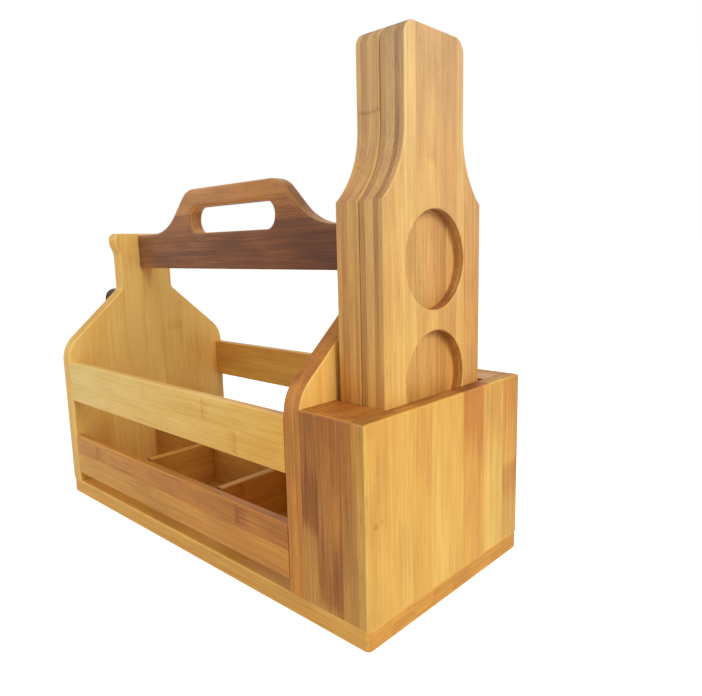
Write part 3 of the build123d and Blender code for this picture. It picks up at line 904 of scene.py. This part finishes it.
def draw_screw(name, length):
    """One screw that points up, with the flat of its head at the origin. It is a pattern, and isn't shown."""
    skin = bmesh.new()
    top = ring_of(skin, 0.0, lambda turn: HEAD_RADIUS - HEAD_RIM)
    lip = [skin.verts.new(Vector(place) * MM) for place in cross_outline(1.0, 0.0)]
    floor = [skin.verts.new(Vector(place) * MM) for place in cross_outline(SLOT_FLOOR_SHARE, SLOT_DEPTH)]
    loops = [skin.edges.new((ring[n - 1], ring[n])) for ring in (top, lip) for n in range(len(ring))]
    bmesh.ops.triangle_fill(skin, edges=loops, use_beauty=True)
    join_rings(skin, lip, floor)
    skin.faces.new(floor)
    last = top
    for depth, radius_at in screw_rings(length):
        ring = ring_of(skin, depth, radius_at)
        join_rings(skin, last, ring)
        last = ring
    tip = skin.verts.new((0, 0, length * MM))
    for n in range(SCREW_SIDES):
        skin.faces.new((last[n], last[(n + 1) % SCREW_SIDES], tip))
    bmesh.ops.recalc_face_normals(skin, faces=skin.faces)
    mesh = bpy.data.meshes.new(name)
    skin.to_mesh(mesh)
    skin.free()
    print(name, "of", len(mesh.polygons), "faces")
    return bpy.data.objects.new(name, mesh)


print("a screw has", SCREW_SIDES, "sides and a recess", SLOT_DEPTH, "mm deep")

# %% A node tree that sets screws
def screw_setter():
    """A Geometry Nodes tree: a screw on every point, turned and spun, realised and given its finish."""
    tree = bpy.data.node_groups.new("set_screws", "GeometryNodeTree")
    inputs = {}
    for name, kind in (
        ("Points", "NodeSocketGeometry"), ("Screw", "NodeSocketObject"), ("Turn", "NodeSocketVector"),
        ("Largest Spin", "NodeSocketFloat"), ("Seed", "NodeSocketInt"), ("Finish", "NodeSocketMaterial"),
    ):
        inputs[name] = tree.interface.new_socket(name, in_out="INPUT", socket_type=kind).identifier
    tree.interface.new_socket("Screws", in_out="OUTPUT", socket_type="NodeSocketGeometry")
    given = tree.nodes.new("NodeGroupInput")
    start = Wire(tree)

    def put(name):
        return Wire(tree, given.outputs[name])

    spin_sockets = {3: put("Largest Spin"), "Seed": put("Seed")}
    spin = start.add("FunctionNodeRandomValue", {"data_type": "FLOAT"}, spin_sockets, 1)
    own_turn = start.add("FunctionNodeEulerToRotation", {}, {0: vector(start, 0.0, 0.0, spin)})
    row_turn = start.add("FunctionNodeEulerToRotation", {}, {0: put("Turn")})
    turn_sockets = {"Rotation": row_turn, "Rotate By": own_turn}
    turned = start.add("FunctionNodeRotateRotation", {"rotation_space": "LOCAL"}, turn_sockets)
    screw = start.add("GeometryNodeObjectInfo", {}, {"Object": put("Screw")}, "Geometry")
    sockets = {"Points": put("Points"), "Instance": screw, "Rotation": turned}
    copies = start.add("GeometryNodeInstanceOnPoints", {}, sockets)
    real = start.add("GeometryNodeRealizeInstances", {}, {0: copies})
    dressed = start.add("GeometryNodeSetMaterial", {}, {"Geometry": real, "Material": put("Finish")})
    tree.links.new(dressed.socket, tree.nodes.new("NodeGroupOutput").inputs[0])
    return tree, inputs


def set_screws(name, places, screw, turn, seed, finish):
    """A plain mesh of screws at places in millimetres."""
    mesh = bpy.data.meshes.new(name)
    mesh.from_pydata([Vector(place) * MM for place in places], [], [])
    piece = bpy.data.objects.new(name, mesh)
    bpy.context.scene.collection.objects.link(piece)
    tree, inputs = screw_setter()
    setter = piece.modifiers.new("set_screws", "NODES")
    setter.node_group = tree
    values = {"Screw": screw, "Turn": turn, "Largest Spin": math.tau, "Seed": seed, "Finish": finish}
    for label, value in values.items():
        setter[inputs[label]] = value
    settle(piece)
    print(name, "has", len(places), "screws and", len(piece.data.polygons), "faces")
    return piece


print("each screw is spun by up to", round(math.degrees(math.tau)), "degrees")

# %% Zinc plated steel
ZINC = [(0.3, srgb(150, 146, 134)), (0.5, srgb(186, 182, 168)), (0.7, srgb(208, 203, 186))]
ZINC_CLOUDS = 700.0
ZINC_GRAIN = 4000.0
ZINC_ROUGHNESS = 0.24
CLOUDED_ROUGHNESS = 0.25
ZINC_DEPTH_MM = 0.02
ZINC_STRENGTH = 0.4


def zinc_plate():
    """Bright zinc with a faint yellow tint, cloudy from handling."""
    material, start, surface = tree_of("zinc_plate")
    place = start.add("ShaderNodeTexCoord", {}, {}, "Object")
    clouds = noise(place, ZINC_CLOUDS, 4.0, 0.6)
    grain = noise(place, ZINC_GRAIN, 2.0, 0.6)
    feed(surface, "Base Color", clouds.add("ShaderNodeValToRGB", {"stops": ZINC}, {"Fac": clouds}))
    feed(surface, "Roughness", ZINC_ROUGHNESS + clouds * CLOUDED_ROUGHNESS)
    surface.inputs["Metallic"].default_value = 1.0
    bump_of(surface, grain, ZINC_DEPTH_MM, ZINC_STRENGTH)
    return material


print("zinc of", len(ZINC), "greys")

# %% Set the base screws
SINK = 0.3
PANEL_SCREW_YS = (-50.0, 0.0, 50.0)
FACE_SCREW_YS = (-45.0, 45.0)
BASE_SPIN_SEED = 3


def middle_of(node):
    """The middle of a node's box in millimetres."""
    low, high = in_mm(node)
    return [(a + b) / 2 for a, b in zip(low, high)]


panel_xs = [middle_of("end_panel_left")[0], middle_of("end_panel_right")[0]]
base_places = [(x, y, SINK) for x in panel_xs for y in PANEL_SCREW_YS]
base_places += [(middle_of("holder_face_board")[0], y, SINK) for y in FACE_SCREW_YS]
base_places += [(*middle_of(board)[:2], SINK) for board in ("holder_side_front", "holder_side_back")]
base_screw_low, base_screw_high = in_mm("base_screws")
base_screw = draw_screw("base_screw_pattern", base_screw_high[2] - base_screw_low[2])
base_screws = set_screws(
    "base_wood_screws", base_places, base_screw, (0.0, 0.0, 0.0), BASE_SPIN_SEED, zinc_plate(),
)
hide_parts("base_screws")
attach(base_screws, "caddy")

# %% Set the opener's screws
OPENER_SPIN_SEED = 5
opener_screw_low, opener_screw_high = in_mm("opener_screws")
opener_zs = (opener_screw_low[2] + HEAD_RADIUS, opener_screw_high[2] - HEAD_RADIUS)
opener_screw = draw_screw("opener_screw_pattern", opener_screw_high[0] - opener_screw_low[0])
opener_screws = set_screws(
    "opener_wood_screws", [(opener_screw_low[0], 0.0, z) for z in opener_zs], opener_screw,
    (0.0, math.radians(90), 0.0), OPENER_SPIN_SEED, antique_bronze("bronzed_screw", worn_by_shape=False),
)
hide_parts("opener_screws")
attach(opener_screws, "caddy")

# %% [markdown]
# ## Lights, floor and background
#
# A catalogue picture has a white ground that fades into a white wall. Turning the lights up until the floor
# goes white would wash the wood out, so the floor and the world only look white to the camera, and light the
# object at a plain level. One soft lamp stands at the camera's right, as a window would, and lights the
# holder's broad face. A wider and weaker one at the camera's left fills the shaded long side.

# %% A white world
WORLD_LIGHT = 0.40


def white_world(light_strength):
    """A world that is white to the camera and in reflections, and lights the object softly."""
    world = bpy.data.worlds.new("studio_world")
    world.use_nodes = True
    tree = world.node_tree
    background = tree.nodes["Background"]
    background.inputs["Color"].default_value = (1, 1, 1, 1)
    wire = Wire(tree)
    rays = wire.add("ShaderNodeLightPath", {}, {}, "Is Camera Ray")
    seen = rays.math("MAXIMUM", rays.other("Is Glossy Ray"))
    feed(background, "Strength", light_strength + seen * (1 - light_strength))
    bpy.context.scene.world = world


white_world(WORLD_LIGHT)
print("white world that lights at", WORLD_LIGHT)

# %% A pale floor
FLOOR_GAP = 0.05 * MM
FLOOR_HALF_SIDE = 30.0
FLOOR_GLOW = 0.68
FLOOR_PAINT = (0.86, 0.86, 0.86, 1)
FLOOR_ROUGHNESS = 0.9
SHORT_RAY = 0.5 * MM


def pale_floor(half_side, glow):
    """A wide floor that keeps the object's soft shadow and is white to the camera elsewhere. It lies a hair
    below the object, and is open from below and to very short rays, so that the underside shows."""
    mesh = bpy.data.meshes.new("studio_floor")
    signs = ((-1, -1), (1, -1), (1, 1), (-1, 1))
    corners = [(x * half_side, y * half_side, -FLOOR_GAP) for x, y in signs]
    mesh.from_pydata(corners, [], [(0, 1, 2, 3)])
    floor = bpy.data.objects.new("studio_floor", mesh)
    bpy.context.scene.collection.objects.link(floor)
    material, start, surface = tree_of("studio_floor")
    surface.inputs["Base Color"].default_value = FLOOR_PAINT
    surface.inputs["Roughness"].default_value = FLOOR_ROUGHNESS
    surface.inputs["Specular IOR Level"].default_value = 0.0
    surface.inputs["Emission Color"].default_value = (1, 1, 1, 1)
    rays = start.add("ShaderNodeLightPath", {}, {}, "Is Camera Ray")
    feed(surface, "Emission Strength", rays * glow)
    near = rays.other("Ray Length").math("LESS_THAN", SHORT_RAY)
    below = start.add("ShaderNodeNewGeometry", {}, {}, "Backfacing")
    open_side = start.add("ShaderNodeBsdfTransparent", {}, {})
    both = start.add("ShaderNodeMixShader", {}, {0: near.math("MAXIMUM", below), 2: open_side})
    material.node_tree.links.new(surface.outputs[0], both.socket.node.inputs[1])
    material.node_tree.links.new(both.socket, material.node_tree.nodes["Material Output"].inputs["Surface"])
    mesh.materials.append(material)


pale_floor(FLOOR_HALF_SIDE, FLOOR_GLOW)
print("floor", FLOOR_HALF_SIDE * 2, "m wide")

# %% Two lamps
CENTRE = (0.0, 0.0, 0.12)


def soft_lamp(name, place, size, power):
    """A square soft lamp that looks at the middle of the caddy."""
    data = bpy.data.lights.new(name, "AREA")
    data.shape = "SQUARE"
    data.size = size
    data.energy = power
    lamp = bpy.data.objects.new(name, data)
    lamp.location = place
    lamp.rotation_euler = (Vector(CENTRE) - Vector(place)).to_track_quat("-Z", "Y").to_euler()
    bpy.context.scene.collection.objects.link(lamp)
    print(name, "of", power, "W")


soft_lamp("window_lamp", place=(1.55, -0.1, 0.95), size=0.8, power=16.8)
soft_lamp("front_lamp", place=(-0.6, -1.5, 0.9), size=1.2, power=8.5)

# %% Colours as they were picked
bpy.context.scene.view_settings.view_transform = "Standard"
print("view transform", bpy.context.scene.view_settings.view_transform)
